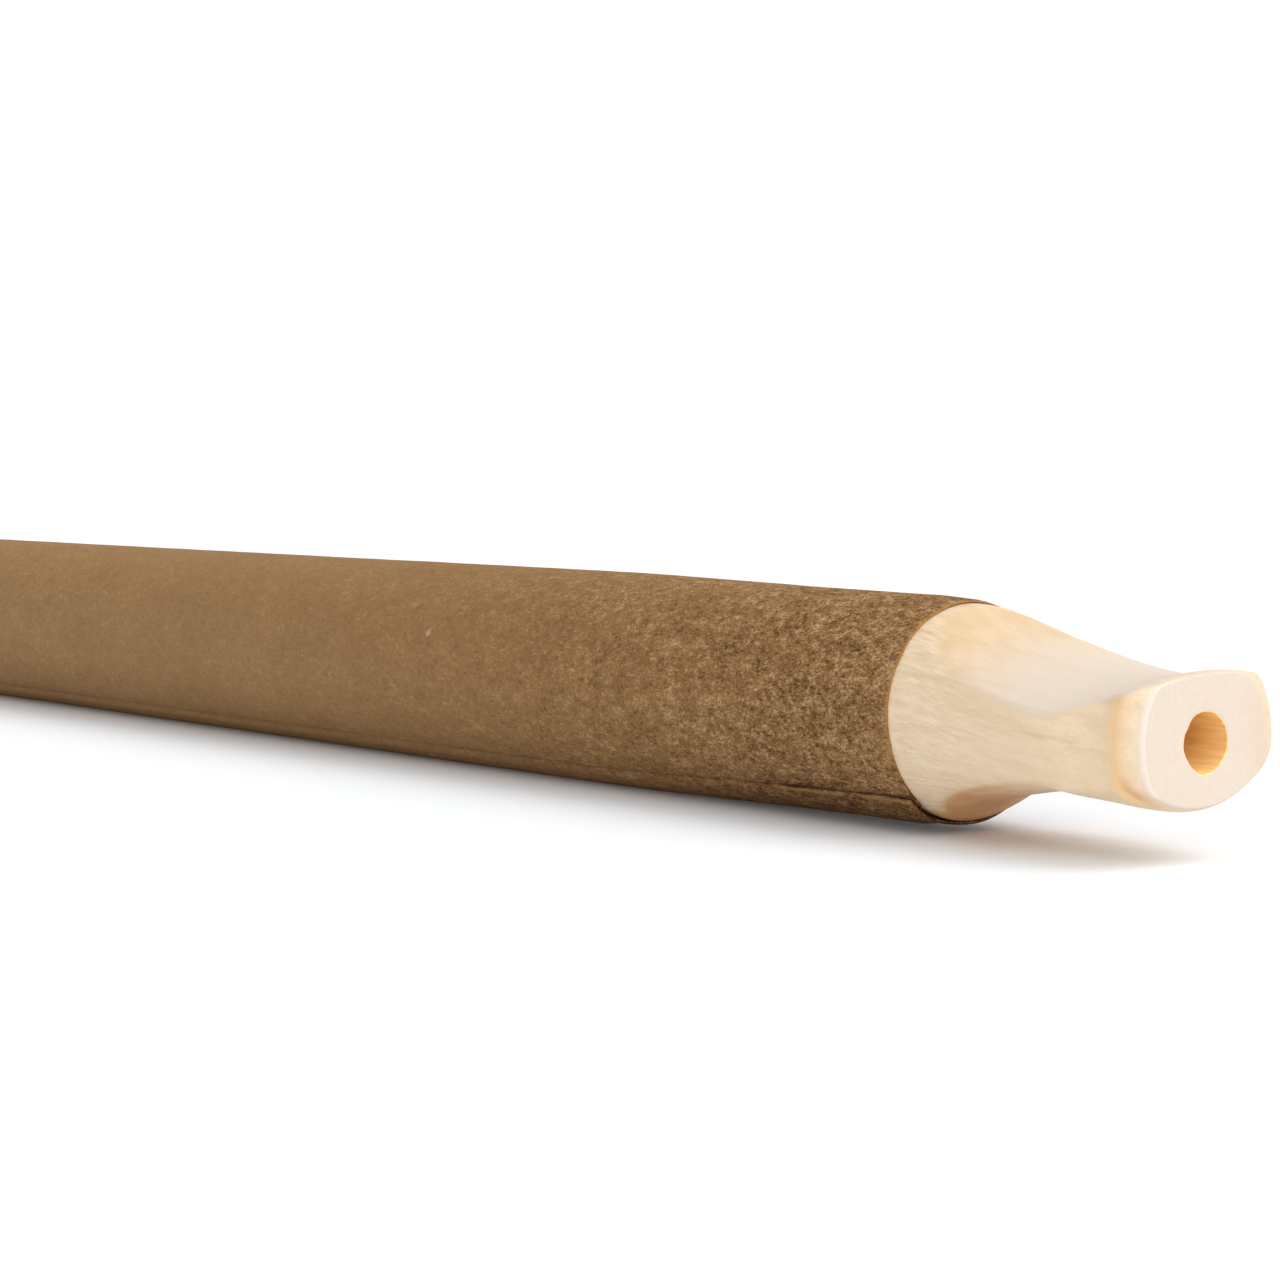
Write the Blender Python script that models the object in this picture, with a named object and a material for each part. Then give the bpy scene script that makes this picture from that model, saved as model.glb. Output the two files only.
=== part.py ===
"""Wood-tipped cigarillo, lying on its side.

A round rod of cut leaf is rolled in a binder sheet and then in a wrapper sheet. The wrapper
also grips the shank of a birch mouthpiece, whose exposed end is cut to two hollow flats and
flares to a blunt mouth bead, with a bore right through it.

Frame: metres, +Z up, the rod along X with its mouth at +X. The origin is on the surface that
the rod lies on, under the middle of its length. Each piece is modelled about the rod's own
axis, and at the end all of them are lifted until the lowest one touches that surface.
"""

import math

import bmesh
import bpy

MM = 0.001

# Rod and mouthpiece, in millimetres.
TOTAL_LENGTH = 125.0
EXPOSED_TIP = 14.0
SHANK_LENGTH = 10.0
FIT_GAP = 0.02
END_GAP = 0.3

# Outer radius of the rolled rod, against the distance behind the wrapper's mouth end.
ROD_LENGTH = TOTAL_LENGTH - EXPOSED_TIP
ROD_PROFILE = ((0.0, 5.0), (SHANK_LENGTH, 5.07), (17.0, 5.18), (26.0, 5.3), (ROD_LENGTH, 5.3))

# Rolled sheets.
WRAPPER_THICKNESS = 0.13
WRAPPER_SEAM = math.radians(45)
WRAPPER_OVERLAP = math.radians(60)
BINDER_THICKNESS = 0.1
BINDER_SEAM = math.radians(225)
BINDER_OVERLAP = math.radians(36)
STEP_RAMP = math.radians(24)
REST_FLAT_DEPTH = 0.12
SHEET_SEGMENTS = 60

# Mouthpiece: radius of the turned sides, and heights of the two flats above and below the
# axis, each against the distance in front of the wrapper's mouth end. All three narrow to a
# waist and swell again to the bead at the mouth.
SIDE_PROFILE = (
    (0.0, 4.85), (3.0, 4.77), (6.5, 4.75), (9.5, 4.5), (11.5, 3.95), (13.0, 4.35), (14.0, 4.0)
)
TOP_PROFILE = ((0.0, 4.75), (3.5, 3.48), (7.5, 2.7), (11.3, 2.16), (14.0, 3.1))
BELLY_PROFILE = ((0.0, 4.9), (1.7, 3.84), (5.0, 2.98), (8.6, 2.49), (12.0, 2.57), (14.0, 2.83))
FLAT_CROWN = 0.05
FLAT_ROLL = math.radians(7)
MOUTH_DROP = 0.31
BORE_RADIUS = 1.23
RIM_LENGTH = 1.0
RIM_INSET_SIDE = 0.7
RIM_INSET_FLAT = 0.38
RIM_STATIONS = 6
SHANK_CHAMFER = 0.4
TIP_SEGMENTS = 48
TIP_STATION_PITCH = 0.7

# Cut filler: long ribbons of leaf in round layers.
RIBBON_WIDTH = 2.1
RIBBON_THICKNESS = 0.42
RIBBON_SPACING = 2.55
LAYER_PITCH = 0.75
FILLER_RADIUS = 4.4
LAYER_COUNT = 5
CORE_WIDTH = 1.0
RIBBON_STATIONS = 6
RIBBON_SWAY = math.radians(11)
FOOT_RECESS = 0.4

BIRCH = ("birch", (0.80, 0.64, 0.44), 0.55)
WRAPPER_LEAF = ("wrapper_leaf", (0.26, 0.15, 0.067), 0.85)
BINDER_LEAF = ("binder_leaf", (0.20, 0.11, 0.05), 0.9)
FILLER_LEAF = ("filler_leaf", (0.24, 0.13, 0.055), 0.9)

WRAP_EDGE_X = TOTAL_LENGTH / 2 - EXPOSED_TIP


def clear_scene():
    for old in list(bpy.data.objects):
        bpy.data.objects.remove(old, do_unlink=True)


def material(name, colour, roughness):
    """A plain, non-metallic Principled material, made once for each name."""
    found = bpy.data.materials.get(name)
    if found:
        return found
    made = bpy.data.materials.new(name)
    made.use_nodes = True
    shader = made.node_tree.nodes["Principled BSDF"]
    shader.inputs["Base Color"].default_value = (*colour, 1.0)
    shader.inputs["Roughness"].default_value = roughness
    shader.inputs["Metallic"].default_value = 0.0
    made.diffuse_color = (*colour, 1.0)
    return made


def straight_between(points, at):
    """The value at a distance, on straight lines between (distance, value) points."""
    for (d0, v0), (d1, v1) in zip(points, points[1:]):
        if at <= d1:
            return v0 + (v1 - v0) * (at - d0) / (d1 - d0)
    return points[-1][1]


def smooth_between(points, at):
    """The value at a distance, on a smooth curve through (distance, value) points.

    Each stretch is a cubic whose end slopes are those of the neighbouring points' chord.
    """
    last = len(points) - 1
    at = min(max(at, points[0][0]), points[last][0])
    i = 0
    while i < last - 1 and at > points[i + 1][0]:
        i += 1

    def slope(k):
        before, after = points[max(k - 1, 0)], points[min(k + 1, last)]
        return (after[1] - before[1]) / (after[0] - before[0])

    (d0, v0), (d1, v1) = points[i], points[i + 1]
    span = d1 - d0
    u = (at - d0) / span
    start = v0 * (2 * u**3 - 3 * u**2 + 1) + span * slope(i) * (u**3 - 2 * u**2 + u)
    end = v1 * (3 * u**2 - 2 * u**3) + span * slope(i + 1) * (u**3 - u**2)
    return start + end


def ease(u):
    """0 to 1, with level ends."""
    u = min(max(u, 0.0), 1.0)
    return u * u * (3 - 2 * u)


def rod_radius(behind):
    return straight_between(ROD_PROFILE, behind)


def join_rows(mesh, row, following):
    """Quads all the way round between two closed rows of points."""
    count = len(row)
    for i in range(count):
        j = (i + 1) % count
        mesh.faces.new((row[i], row[j], following[j], following[i]))


def skin_over(mesh, rings):
    """Adds closed rings of points, in millimetres, and the skin between each two of them."""
    rows = [[mesh.verts.new([c * MM for c in point]) for point in ring] for ring in rings]
    for row, following in zip(rows, rows[1:]):
        join_rows(mesh, row, following)
    return rows


def finish_solid(name, mesh, paint):
    """Turns the mesh's faces outwards and makes it an object with its own material."""
    bmesh.ops.triangulate(mesh, faces=[f for f in mesh.faces if len(f.verts) > 4])
    bmesh.ops.recalc_face_normals(mesh, faces=mesh.faces[:])
    data = bpy.data.meshes.new(name)
    mesh.to_mesh(data)
    mesh.free()
    data.shade_smooth()
    data.set_sharp_from_angle(angle=math.radians(35))
    data.materials.append(material(*paint))
    bpy.context.scene.collection.objects.link(bpy.data.objects.new(name, data))


def around(x, radius, angle):
    """A point about the rod's axis. Angle 0 is the -Y side, and a quarter turn on is below."""
    return (x, -radius * math.cos(angle), -radius * math.sin(angle))


def pressed(behind, radius, angle):
    """A point of a rolled sheet, on the narrow flat that the rod's weight presses below it.

    The sheets stay parallel there. The flat fades out where the rod narrows to the shank.
    """
    x, y, z = around(WRAP_EDGE_X - behind, radius, angle)
    radius_on_thickest = radius + ROD_PROFILE[-1][1] - rod_radius(behind)
    return (x, y, max(z, REST_FLAT_DEPTH - radius_on_thickest))


def rolled_sheet(name, stations, thickness, seam, overlap, radius_at, lifted, paint):
    """A sheet rolled once round the rod, with its outer free edge at the seam angle.

    radius_at gives the outer radius at a distance behind the wrapper's mouth end. Where the
    ends overlap, a lifted sheet steps outwards over itself, and any other dives inwards.
    """
    step = thickness + FIT_GAP
    whole = 2 * math.pi
    count = round((whole + overlap) / (whole / SHEET_SEGMENTS))
    turns = [(whole + overlap) * i / count for i in range(count + 1)]

    def offset(turn):
        if lifted:
            return step * (1 - ease((turn - overlap) / STEP_RAMP))
        return -step * ease((turn - whole + STEP_RAMP) / STEP_RAMP)

    rings = []
    for behind in stations:
        outer = radius_at(behind)
        skin = [pressed(behind, outer + offset(t), seam + t) for t in turns]
        inside = [pressed(behind, outer + offset(t) - thickness, seam + t) for t in turns]
        rings.append(skin + inside[::-1])

    mesh = bmesh.new()
    rows = skin_over(mesh, rings)
    for row in (rows[0], rows[-1]):
        for i in range(count):
            mesh.faces.new((row[i], row[i + 1], row[-2 - i], row[-1 - i]))
    finish_solid(name, mesh, paint)


def make_wrapper():
    """The outer leaf sheet: its own thickness is what shows as a thin edge round the wood."""
    stations = [behind for behind, _ in ROD_PROFILE]
    rolled_sheet(
        "wrapper", stations, WRAPPER_THICKNESS, WRAPPER_SEAM, WRAPPER_OVERLAP,
        rod_radius, True, WRAPPER_LEAF,
    )


def binder_radius(behind):
    return rod_radius(behind) - WRAPPER_THICKNESS - FIT_GAP


def make_binder():
    """The inner sheet that holds the filler, from the shank's end to the foot."""
    start = SHANK_LENGTH + END_GAP
    stations = [start] + [behind for behind, _ in ROD_PROFILE if behind > start]
    rolled_sheet(
        "binder", stations, BINDER_THICKNESS, BINDER_SEAM, BINDER_OVERLAP,
        binder_radius, False, BINDER_LEAF,
    )


def tip_section(ahead):
    """The mouthpiece's outline at a distance in front of the wrapper's mouth end.

    A disc is cut by a crowned flat above and one below, then turned by the flats' roll. Over
    the last stretch, the rim, it is drawn in along a quarter of an ellipse.
    """
    into_rim = max(0.0, (ahead - EXPOSED_TIP + RIM_LENGTH) / RIM_LENGTH)
    drawn_in = 1 - math.sqrt(max(0.0, 1 - into_rim**2))
    side = smooth_between(SIDE_PROFILE, ahead) - RIM_INSET_SIDE * drawn_in
    top = smooth_between(TOP_PROFILE, ahead) - RIM_INSET_FLAT * drawn_in
    belly = smooth_between(BELLY_PROFILE, ahead) - RIM_INSET_FLAT * drawn_in
    outline = []
    for i in range(TIP_SEGMENTS):
        angle = 2 * math.pi * i / TIP_SEGMENTS
        y, z = side * math.cos(angle), side * math.sin(angle)
        z = min(z, top - FLAT_CROWN * y * y)
        z = max(z, FLAT_CROWN * y * y - belly)
        rolled_y = y * math.cos(FLAT_ROLL) - z * math.sin(FLAT_ROLL)
        rolled_z = z * math.cos(FLAT_ROLL) + y * math.sin(FLAT_ROLL)
        outline.append((WRAP_EDGE_X + ahead, rolled_y, rolled_z - drop_at(ahead)))
    return outline


def drop_at(ahead):
    """How far the bore and the mouth have sunk below the rod's axis."""
    return MOUTH_DROP * max(ahead, 0.0) / EXPOSED_TIP


def round_section(x, radius, drop):
    angles = [2 * math.pi * i / TIP_SEGMENTS for i in range(TIP_SEGMENTS)]
    return [(x, radius * math.cos(a), radius * math.sin(a) - drop) for a in angles]


def shank_radius(behind):
    return rod_radius(behind) - WRAPPER_THICKNESS - FIT_GAP


def make_mouthpiece():
    """The birch mouthpiece: a round shank inside the roll, and the shaped end that shows."""
    inner_end = WRAP_EDGE_X - SHANK_LENGTH
    wide = shank_radius(SHANK_LENGTH)
    outer = [
        round_section(inner_end, wide - SHANK_CHAMFER, 0.0),
        round_section(inner_end + SHANK_CHAMFER, wide, 0.0),
    ]
    before_rim = EXPOSED_TIP - RIM_LENGTH
    pieces = round(before_rim / TIP_STATION_PITCH)
    outer += [tip_section(before_rim * i / pieces) for i in range(pieces)]
    for i in range(RIM_STATIONS + 1):
        outer.append(tip_section(before_rim + RIM_LENGTH * math.sin(math.pi / 2 * i / RIM_STATIONS)))
    bore = [
        round_section(inner_end, BORE_RADIUS, 0.0),
        round_section(WRAP_EDGE_X, BORE_RADIUS, 0.0),
        round_section(WRAP_EDGE_X + EXPOSED_TIP, BORE_RADIUS, MOUTH_DROP),
    ]
    mesh = bmesh.new()
    skin, wall = skin_over(mesh, outer), skin_over(mesh, bore)
    join_rows(mesh, skin[0], wall[0])
    join_rows(mesh, skin[-1], wall[-1])
    finish_solid("mouthpiece", mesh, BIRCH)


def ribbon_ring(x, radius, middle, half_angle):
    """An arched strip's outline: three points over its back, and three along its hollow."""
    half = RIBBON_THICKNESS / 2
    spread = (-half_angle, 0.0, half_angle)
    back = [around(x, radius + half, middle + a) for a in spread]
    hollow = [around(x, radius - half, middle + a) for a in reversed(spread)]
    return back + hollow


def make_ribbon(number, rings):
    """One ribbon of cut leaf, skinned over its outlines and closed flat at both ends."""
    mesh = bmesh.new()
    rows = skin_over(mesh, rings)
    mesh.faces.new(rows[0])
    mesh.faces.new(rows[-1])
    finish_solid(f"filler_ribbon_{number:02d}", mesh, FILLER_LEAF)


def make_filler():
    """Layers of leaf ribbons about a flat core ribbon. A layer sways as one along the rod."""
    foot = WRAP_EDGE_X - ROD_LENGTH + FOOT_RECESS
    length = WRAP_EDGE_X - SHANK_LENGTH - END_GAP - foot
    shares = [i / (RIBBON_STATIONS - 1) for i in range(RIBBON_STATIONS)]
    number = 1
    for layer in range(LAYER_COUNT):
        radius = FILLER_RADIUS - LAYER_PITCH * layer
        count = int(2 * math.pi * radius / RIBBON_SPACING)
        half_angle = RIBBON_WIDTH / (2 * radius)
        for i in range(count):
            start = 2 * math.pi * (i + 0.37 * layer) / count
            rings = []
            for share in shares:
                sway = RIBBON_SWAY * math.sin(2.3 * layer + 2 * math.pi * share)
                rings.append(ribbon_ring(foot + length * share, radius, start + sway, half_angle))
            make_ribbon(number, rings)
            number += 1
    wide, thick = CORE_WIDTH / 2, RIBBON_THICKNESS / 2
    corners = ((-wide, -thick), (wide, -thick), (wide, thick), (-wide, thick))
    make_ribbon(number, [[(x, y, z) for y, z in corners] for x in (foot, foot + length)])


def rest_on_surface():
    """Lifts every piece alike, until the lowest point of the part is at height 0."""
    lowest = min(v.co.z for part in bpy.data.objects for v in part.data.vertices)
    for part in bpy.data.objects:
        part.location.z = -lowest


clear_scene()
make_mouthpiece()
make_wrapper()
make_binder()
make_filler()
rest_on_surface()
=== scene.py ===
"""Looks of the wood-tipped cigarillo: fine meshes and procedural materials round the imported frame.

Shapes are in millimetres until make_object turns them into metres. "Behind" is a distance back
from the wrapper's edge at the wood, and "ahead" is a distance forward from it.
"""
import math
import random

import bmesh
import bpy
import numpy as np
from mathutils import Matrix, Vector, noise


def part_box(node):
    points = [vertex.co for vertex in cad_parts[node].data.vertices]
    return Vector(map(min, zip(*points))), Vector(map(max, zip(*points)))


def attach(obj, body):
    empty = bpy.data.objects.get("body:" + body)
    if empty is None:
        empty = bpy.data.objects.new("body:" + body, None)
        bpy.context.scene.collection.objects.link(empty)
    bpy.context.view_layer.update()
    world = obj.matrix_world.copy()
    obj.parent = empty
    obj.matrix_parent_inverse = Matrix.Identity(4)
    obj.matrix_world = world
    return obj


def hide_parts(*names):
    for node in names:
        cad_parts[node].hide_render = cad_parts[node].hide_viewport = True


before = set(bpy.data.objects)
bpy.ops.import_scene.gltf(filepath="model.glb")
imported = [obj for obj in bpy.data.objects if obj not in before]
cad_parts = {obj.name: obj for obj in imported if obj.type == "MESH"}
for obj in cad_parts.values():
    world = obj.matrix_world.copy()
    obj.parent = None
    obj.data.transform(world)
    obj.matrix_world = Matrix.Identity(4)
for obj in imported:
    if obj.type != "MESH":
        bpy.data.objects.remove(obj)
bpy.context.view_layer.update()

MM = 0.001

# ---- places taken from the frame ----

WRAPPER_LOW, WRAPPER_HIGH = (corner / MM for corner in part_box("wrapper"))
TIP_LOW, TIP_HIGH = (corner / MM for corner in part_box("mouthpiece"))
EDGE_X = WRAPPER_HIGH.x
SHANK_X = TIP_LOW.x
MOUTH_X = TIP_HIGH.x
EXPOSED = MOUTH_X - EDGE_X
SHANK = EDGE_X - SHANK_X
ROD_LENGTH = EDGE_X - WRAPPER_LOW.x
BINDER_START = EDGE_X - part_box("binder")[1].x / MM

# ---- the rod's sizes, as the CAD part has them ----

REST_FLAT_DEPTH = 0.12
ROD_THICKEST = 5.3
FIT_GAP = 0.02
WRAPPER_THICKNESS = 0.13
BINDER_THICKNESS = 0.1
AXIS_Z = ROD_THICKEST + WRAPPER_THICKNESS + FIT_GAP - REST_FLAT_DEPTH

# Outer radius against the distance behind the wrapper's edge.
ROD_PROFILE = ((0.0, 5.0), (10.0, 5.07), (17.0, 5.18), (26.0, 5.3), (60.0, 5.3), (ROD_LENGTH, 5.3))

# ---- the mouthpiece's sizes: the CAD part's, with a finer mouth ----

# Radius of the far side and of the near side, and heights of the flats above and below the axis,
# each against the distance ahead. They narrow to a waist and swell again to the mouth's bead.
SIDE_PROFILE = (
    (0.0, 4.86), (3.0, 4.77), (6.5, 4.75), (9.5, 4.57), (11.8, 3.98), (13.1, 4.71), (14.0, 4.25)
)
NEAR_SIDE_PROFILE = (
    (0.0, 4.86), (3.0, 4.77), (6.5, 4.75), (9.5, 4.62), (12.2, 3.76), (13.3, 4.01), (14.0, 3.92)
)
TOP_PROFILE = (
    (0.0, 4.88), (0.5, 4.74), (1.6, 4.18), (3.5, 3.48), (7.5, 2.7), (11.3, 2.44), (14.0, 2.93)
)
BELLY_PROFILE = ((0.0, 4.9), (1.7, 3.84), (5.0, 2.98), (8.6, 2.49), (12.0, 2.92), (14.0, 2.85))

# A flat's height falls by its crown times the square of the distance from its middle line.
FLAT_CROWN = 0.05
MOUTH_TOP_CROWN = 0.035
MOUTH_BELLY_CROWN = 0.105
FLAT_ROLL = math.radians(7)
MOUTH_ROLL = math.radians(5)
RIDGE_BLEND = 0.42

# How deep a flat has cut where the wood's colours count it as fully cut.
FULLY_SHAVED = 0.25

# Where the flats start to take their shape at the mouth, over what length, and how far the mouth
# is moved towards the near side and down.
MOUTH_SHAPE_START = 9.5
MOUTH_SHAPE_LENGTH = 3.5
MOUTH_SHIFT = 0.15
MOUTH_DROP = 0.31

# The rod and the wood are a little flat on their upper far side, on both sides of the edge.
TOP_TUCK = 0.11
TUCK_AHEAD = 5.0
TUCK_BEHIND = 3.0

BORE_RADIUS = 1.23
BORE_ROUGHNESS = 0.02
BORE_LIP = 0.05
TEAR_DEPTH = 0.8
RIM_LENGTH = 1.0
RIM_INSET_SIDE = 0.78
RIM_INSET_FLAT = 0.25

# The shank's inner end: distance from the end, and how far the radius is drawn in there.
SHANK_CHAMFER = ((0.0, 0.4), (0.12, 0.12), (0.4, 0.0))


# ---- curves and small helpers ----

def smooth_between(points, at):
    """Values on a smooth curve through (distance, value) points, for an array of distances."""
    d = np.array([p[0] for p in points])
    v = np.array([p[1] for p in points])
    last = len(d) - 1
    slope = np.array(
        [(v[min(k + 1, last)] - v[max(k - 1, 0)]) / (d[min(k + 1, last)] - d[max(k - 1, 0)])
         for k in range(last + 1)]
    )
    at = np.clip(at, d[0], d[last])
    i = np.clip(np.searchsorted(d, at, side="left") - 1, 0, last - 1)
    span = d[i + 1] - d[i]
    u = (at - d[i]) / span
    start = v[i] * (2 * u**3 - 3 * u**2 + 1) + span * slope[i] * (u**3 - 2 * u**2 + u)
    end = v[i + 1] * (3 * u**2 - 2 * u**3) + span * slope[i + 1] * (u**3 - u**2)
    return start + end


def ease(u):
    """0 to 1, with level ends, for a number or an array."""
    u = np.clip(u, 0.0, 1.0)
    return u * u * (3 - 2 * u)


def rising(value, start, length):
    """0 up to a start, 1 from a length past it, and a smooth step between."""
    return ease((value - start) / length)


def falling(value, start, length):
    """1 up to a start, 0 from a length past it, and a smooth step between."""
    return 1 - ease((value - start) / length)


def peak(value, middle, width):
    """A smooth hump of height 1."""
    return np.exp(-(((value - middle) / width) ** 2))


def soft_min(a, b, blend):
    """The smaller of two arrays, with the corner between them rounded over a blend length."""
    h = np.clip(0.5 + 0.5 * (b - a) / blend, 0.0, 1.0)
    return b * (1 - h) + a * h - blend * h * (1 - h)


def noise_at(*coordinates):
    """Smooth noise of about -1 to 1 at places given as arrays or numbers for x, y and z."""
    grids = np.broadcast_arrays(*coordinates)
    values = [noise.noise(Vector(place)) for place in zip(*(grid.ravel() for grid in grids))]
    return np.array(values).reshape(grids[0].shape)


def wobble(values, pitch, seed):
    """Smooth noise along an array of distances, with features a pitch long."""
    return noise_at(values / pitch, 7.3 * seed, 1.9)


def high_far(across, up):
    """How much a direction from the axis points to the upper far side."""
    return rising(across, -0.6, 0.9) * rising(up, -0.2, 0.6)


def rows_to_faces(rows, columns, first=0):
    """Quads between closed rows of a grid of points."""
    r, c = np.meshgrid(np.arange(rows - 1), np.arange(columns), indexing="ij")
    nxt = (c + 1) % columns
    quads = np.stack(
        [r * columns + c, r * columns + nxt, (r + 1) * columns + nxt, (r + 1) * columns + c], -1
    )
    return (quads.reshape(-1, 4) + first).tolist()


def end_faces(first, columns):
    """Quads that close the end of a flat closed row, from one long side to the other."""
    return [
        [first + i, first + i + 1, first + columns - 2 - i, first + columns - 1 - i]
        for i in range(columns // 2 - 1)
    ]


def make_object(name, points, faces, materials, sharp):
    """An object from points in millimetres, smooth but for corners sharper than an angle."""
    data = bpy.data.meshes.new(name)
    data.from_pydata((np.asarray(points) * MM).tolist(), [], faces)
    data.validate()
    for paint in materials:
        data.materials.append(paint)
    made = bpy.data.objects.new(name, data)
    bpy.context.scene.collection.objects.link(made)
    face_outwards(data)
    data.shade_smooth()
    data.set_sharp_from_angle(angle=math.radians(sharp))
    return made


def face_outwards(data):
    """Turns every face so that its front is on the outside."""
    mesh = bmesh.new()
    mesh.from_mesh(data)
    bmesh.ops.recalc_face_normals(mesh, faces=mesh.faces[:])
    mesh.to_mesh(data)
    mesh.free()


def vertex_places(data):
    """A mesh's x, y and z as three arrays, in millimetres."""
    places = np.empty(len(data.vertices) * 3, np.float32)
    data.vertices.foreach_get("co", places)
    return (places.reshape(-1, 3) / MM).T


def store_marks(data, marks):
    """Keeps one number at each vertex under each name, for the materials to read."""
    for name, values in marks.items():
        layer = data.attributes.new(name, "FLOAT", "POINT")
        layer.data.foreach_set("value", np.asarray(values, np.float32))


# ---- node materials ----

class Paint:
    """A Principled material whose nodes read the object's own coordinates, in millimetres."""

    def __init__(self, name, roughness, specular):
        self.material = bpy.data.materials.new(name)
        self.material.use_nodes = True
        self.tree = self.material.node_tree
        self.shader = self.tree.nodes["Principled BSDF"]
        self.shader.inputs["Roughness"].default_value = roughness
        self.shader.inputs["Specular IOR Level"].default_value = specular
        coordinates = self.tree.nodes.new("ShaderNodeTexCoord").outputs["Object"]
        self.place = self.scaled(coordinates, (1 / MM, 1 / MM, 1 / MM))

    def node(self, kind, **settings):
        """A new node with some of its properties set."""
        made = self.tree.nodes.new(kind)
        for key, value in settings.items():
            setattr(made, key, value)
        return made

    def put(self, socket, value):
        """Links a socket to another one's output, or sets its own value."""
        if isinstance(value, bpy.types.NodeSocket):
            self.tree.links.new(value, socket)
        else:
            socket.default_value = value

    def scaled(self, vector, scale, turn=(0, 0, 0)):
        """A vector scaled along the axes and then turned."""
        made = self.node("ShaderNodeMapping")
        self.put(made.inputs["Vector"], vector)
        made.inputs["Scale"].default_value = scale
        made.inputs["Rotation"].default_value = turn
        return made.outputs["Vector"]

    def turned(self, stretch, turn):
        """The object's coordinates, turned and then stretched along the turned axes."""
        return self.scaled(self.scaled(self.place, (1, 1, 1), turn), stretch)

    def noise(self, scale, detail, stretch=(1, 1, 1), turn=(0, 0, 0), rough=0.5):
        """Noise with about that many features to a millimetre."""
        made = self.node("ShaderNodeTexNoise")
        self.put(made.inputs["Vector"], self.turned(stretch, turn))
        made.inputs["Scale"].default_value = scale
        made.inputs["Detail"].default_value = detail
        made.inputs["Roughness"].default_value = rough
        return made.outputs["Fac"]

    def bits(self, scale, stretch, turn, chosen, size):
        """Separate spots, each round the middle of one cell out of some chosen ones.

        Each cell has its own random value. The share of cells that get a spot comes from the
        ramp over that value, and the spot's size from the ramp over the distance inside it.
        """
        made = self.node("ShaderNodeTexVoronoi", feature="F1")
        self.put(made.inputs["Vector"], self.turned(stretch, turn))
        made.inputs["Scale"].default_value = scale
        apart = self.node("ShaderNodeSeparateColor")
        self.put(apart.inputs["Color"], made.outputs["Color"])
        which = self.ramp(apart.outputs["Red"], *chosen)
        return self.maths("MULTIPLY", which, self.ramp(made.outputs["Distance"], *size, 1.0, 0.0))

    def ramp(self, value, low, high, a=0.0, b=1.0):
        """The value's stretch from low to high, spread over a to b."""
        made = self.node("ShaderNodeMapRange", interpolation_type="SMOOTHSTEP")
        self.put(made.inputs["Value"], value)
        for key, number in (("From Min", low), ("From Max", high), ("To Min", a), ("To Max", b)):
            made.inputs[key].default_value = number
        return made.outputs["Result"]

    def maths(self, operation, a, b):
        """The result of one sum on two values."""
        made = self.node("ShaderNodeMath", operation=operation)
        self.put(made.inputs[0], a)
        self.put(made.inputs[1], b)
        return made.outputs[0]

    def mix(self, share, a, b):
        """Colour a with a share of colour b laid over it."""
        made = self.node("ShaderNodeMix", data_type="RGBA")
        self.put(made.inputs["Factor"], share)
        self.put(made.inputs["A"], a)
        self.put(made.inputs["B"], b)
        return made.outputs["Result"]

    def attribute(self, name):
        """What store_marks kept under a name."""
        return self.node("ShaderNodeAttribute", attribute_name=name).outputs["Fac"]

    def finish(self, colour, height, depth_mm):
        """Connects the colour and a bump of some depth, and gives the finished material."""
        self.put(self.shader.inputs["Base Color"], colour)
        bump = self.node("ShaderNodeBump")
        bump.inputs["Strength"].default_value = 1.0
        bump.inputs["Distance"].default_value = depth_mm * MM
        self.put(bump.inputs["Height"], height)
        self.tree.links.new(bump.outputs["Normal"], self.shader.inputs["Normal"])
        return self.material


def rgb(red, green, blue):
    """A colour given in screen values of 0 to 255, as the linear values that a shader takes."""
    def linear(c):
        c /= 255
        return c / 12.92 if c <= 0.04045 else ((c + 0.055) / 1.055) ** 2.4
    return (linear(red), linear(green), linear(blue), 1.0)


# Each leaf's ground, dark grain, light grain and cut edge; on the wrapper the cut edge's colour is a
# painted highlight.
WRAPPER_COLOURS = (rgb(139, 103, 65), rgb(82, 54, 29), rgb(190, 156, 112), rgb(178, 126, 66))
BINDER_COLOURS = (rgb(124, 90, 56), rgb(70, 46, 26), rgb(160, 126, 88), rgb(124, 90, 56))
FILLER_COLOURS = (rgb(142, 98, 54), rgb(70, 42, 22), rgb(200, 154, 92), rgb(142, 98, 54))
FLECK = rgb(206, 176, 138)
WORN_LEAF = rgb(159, 128, 91)
# Painted highlight for the seam's lip.
SEAM_LIP_HIGHLIGHT = rgb(172, 132, 84)
# Painted shadow for the seam's crevice.
SEAM_CREVICE_SHADE = rgb(48, 30, 15)


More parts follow.
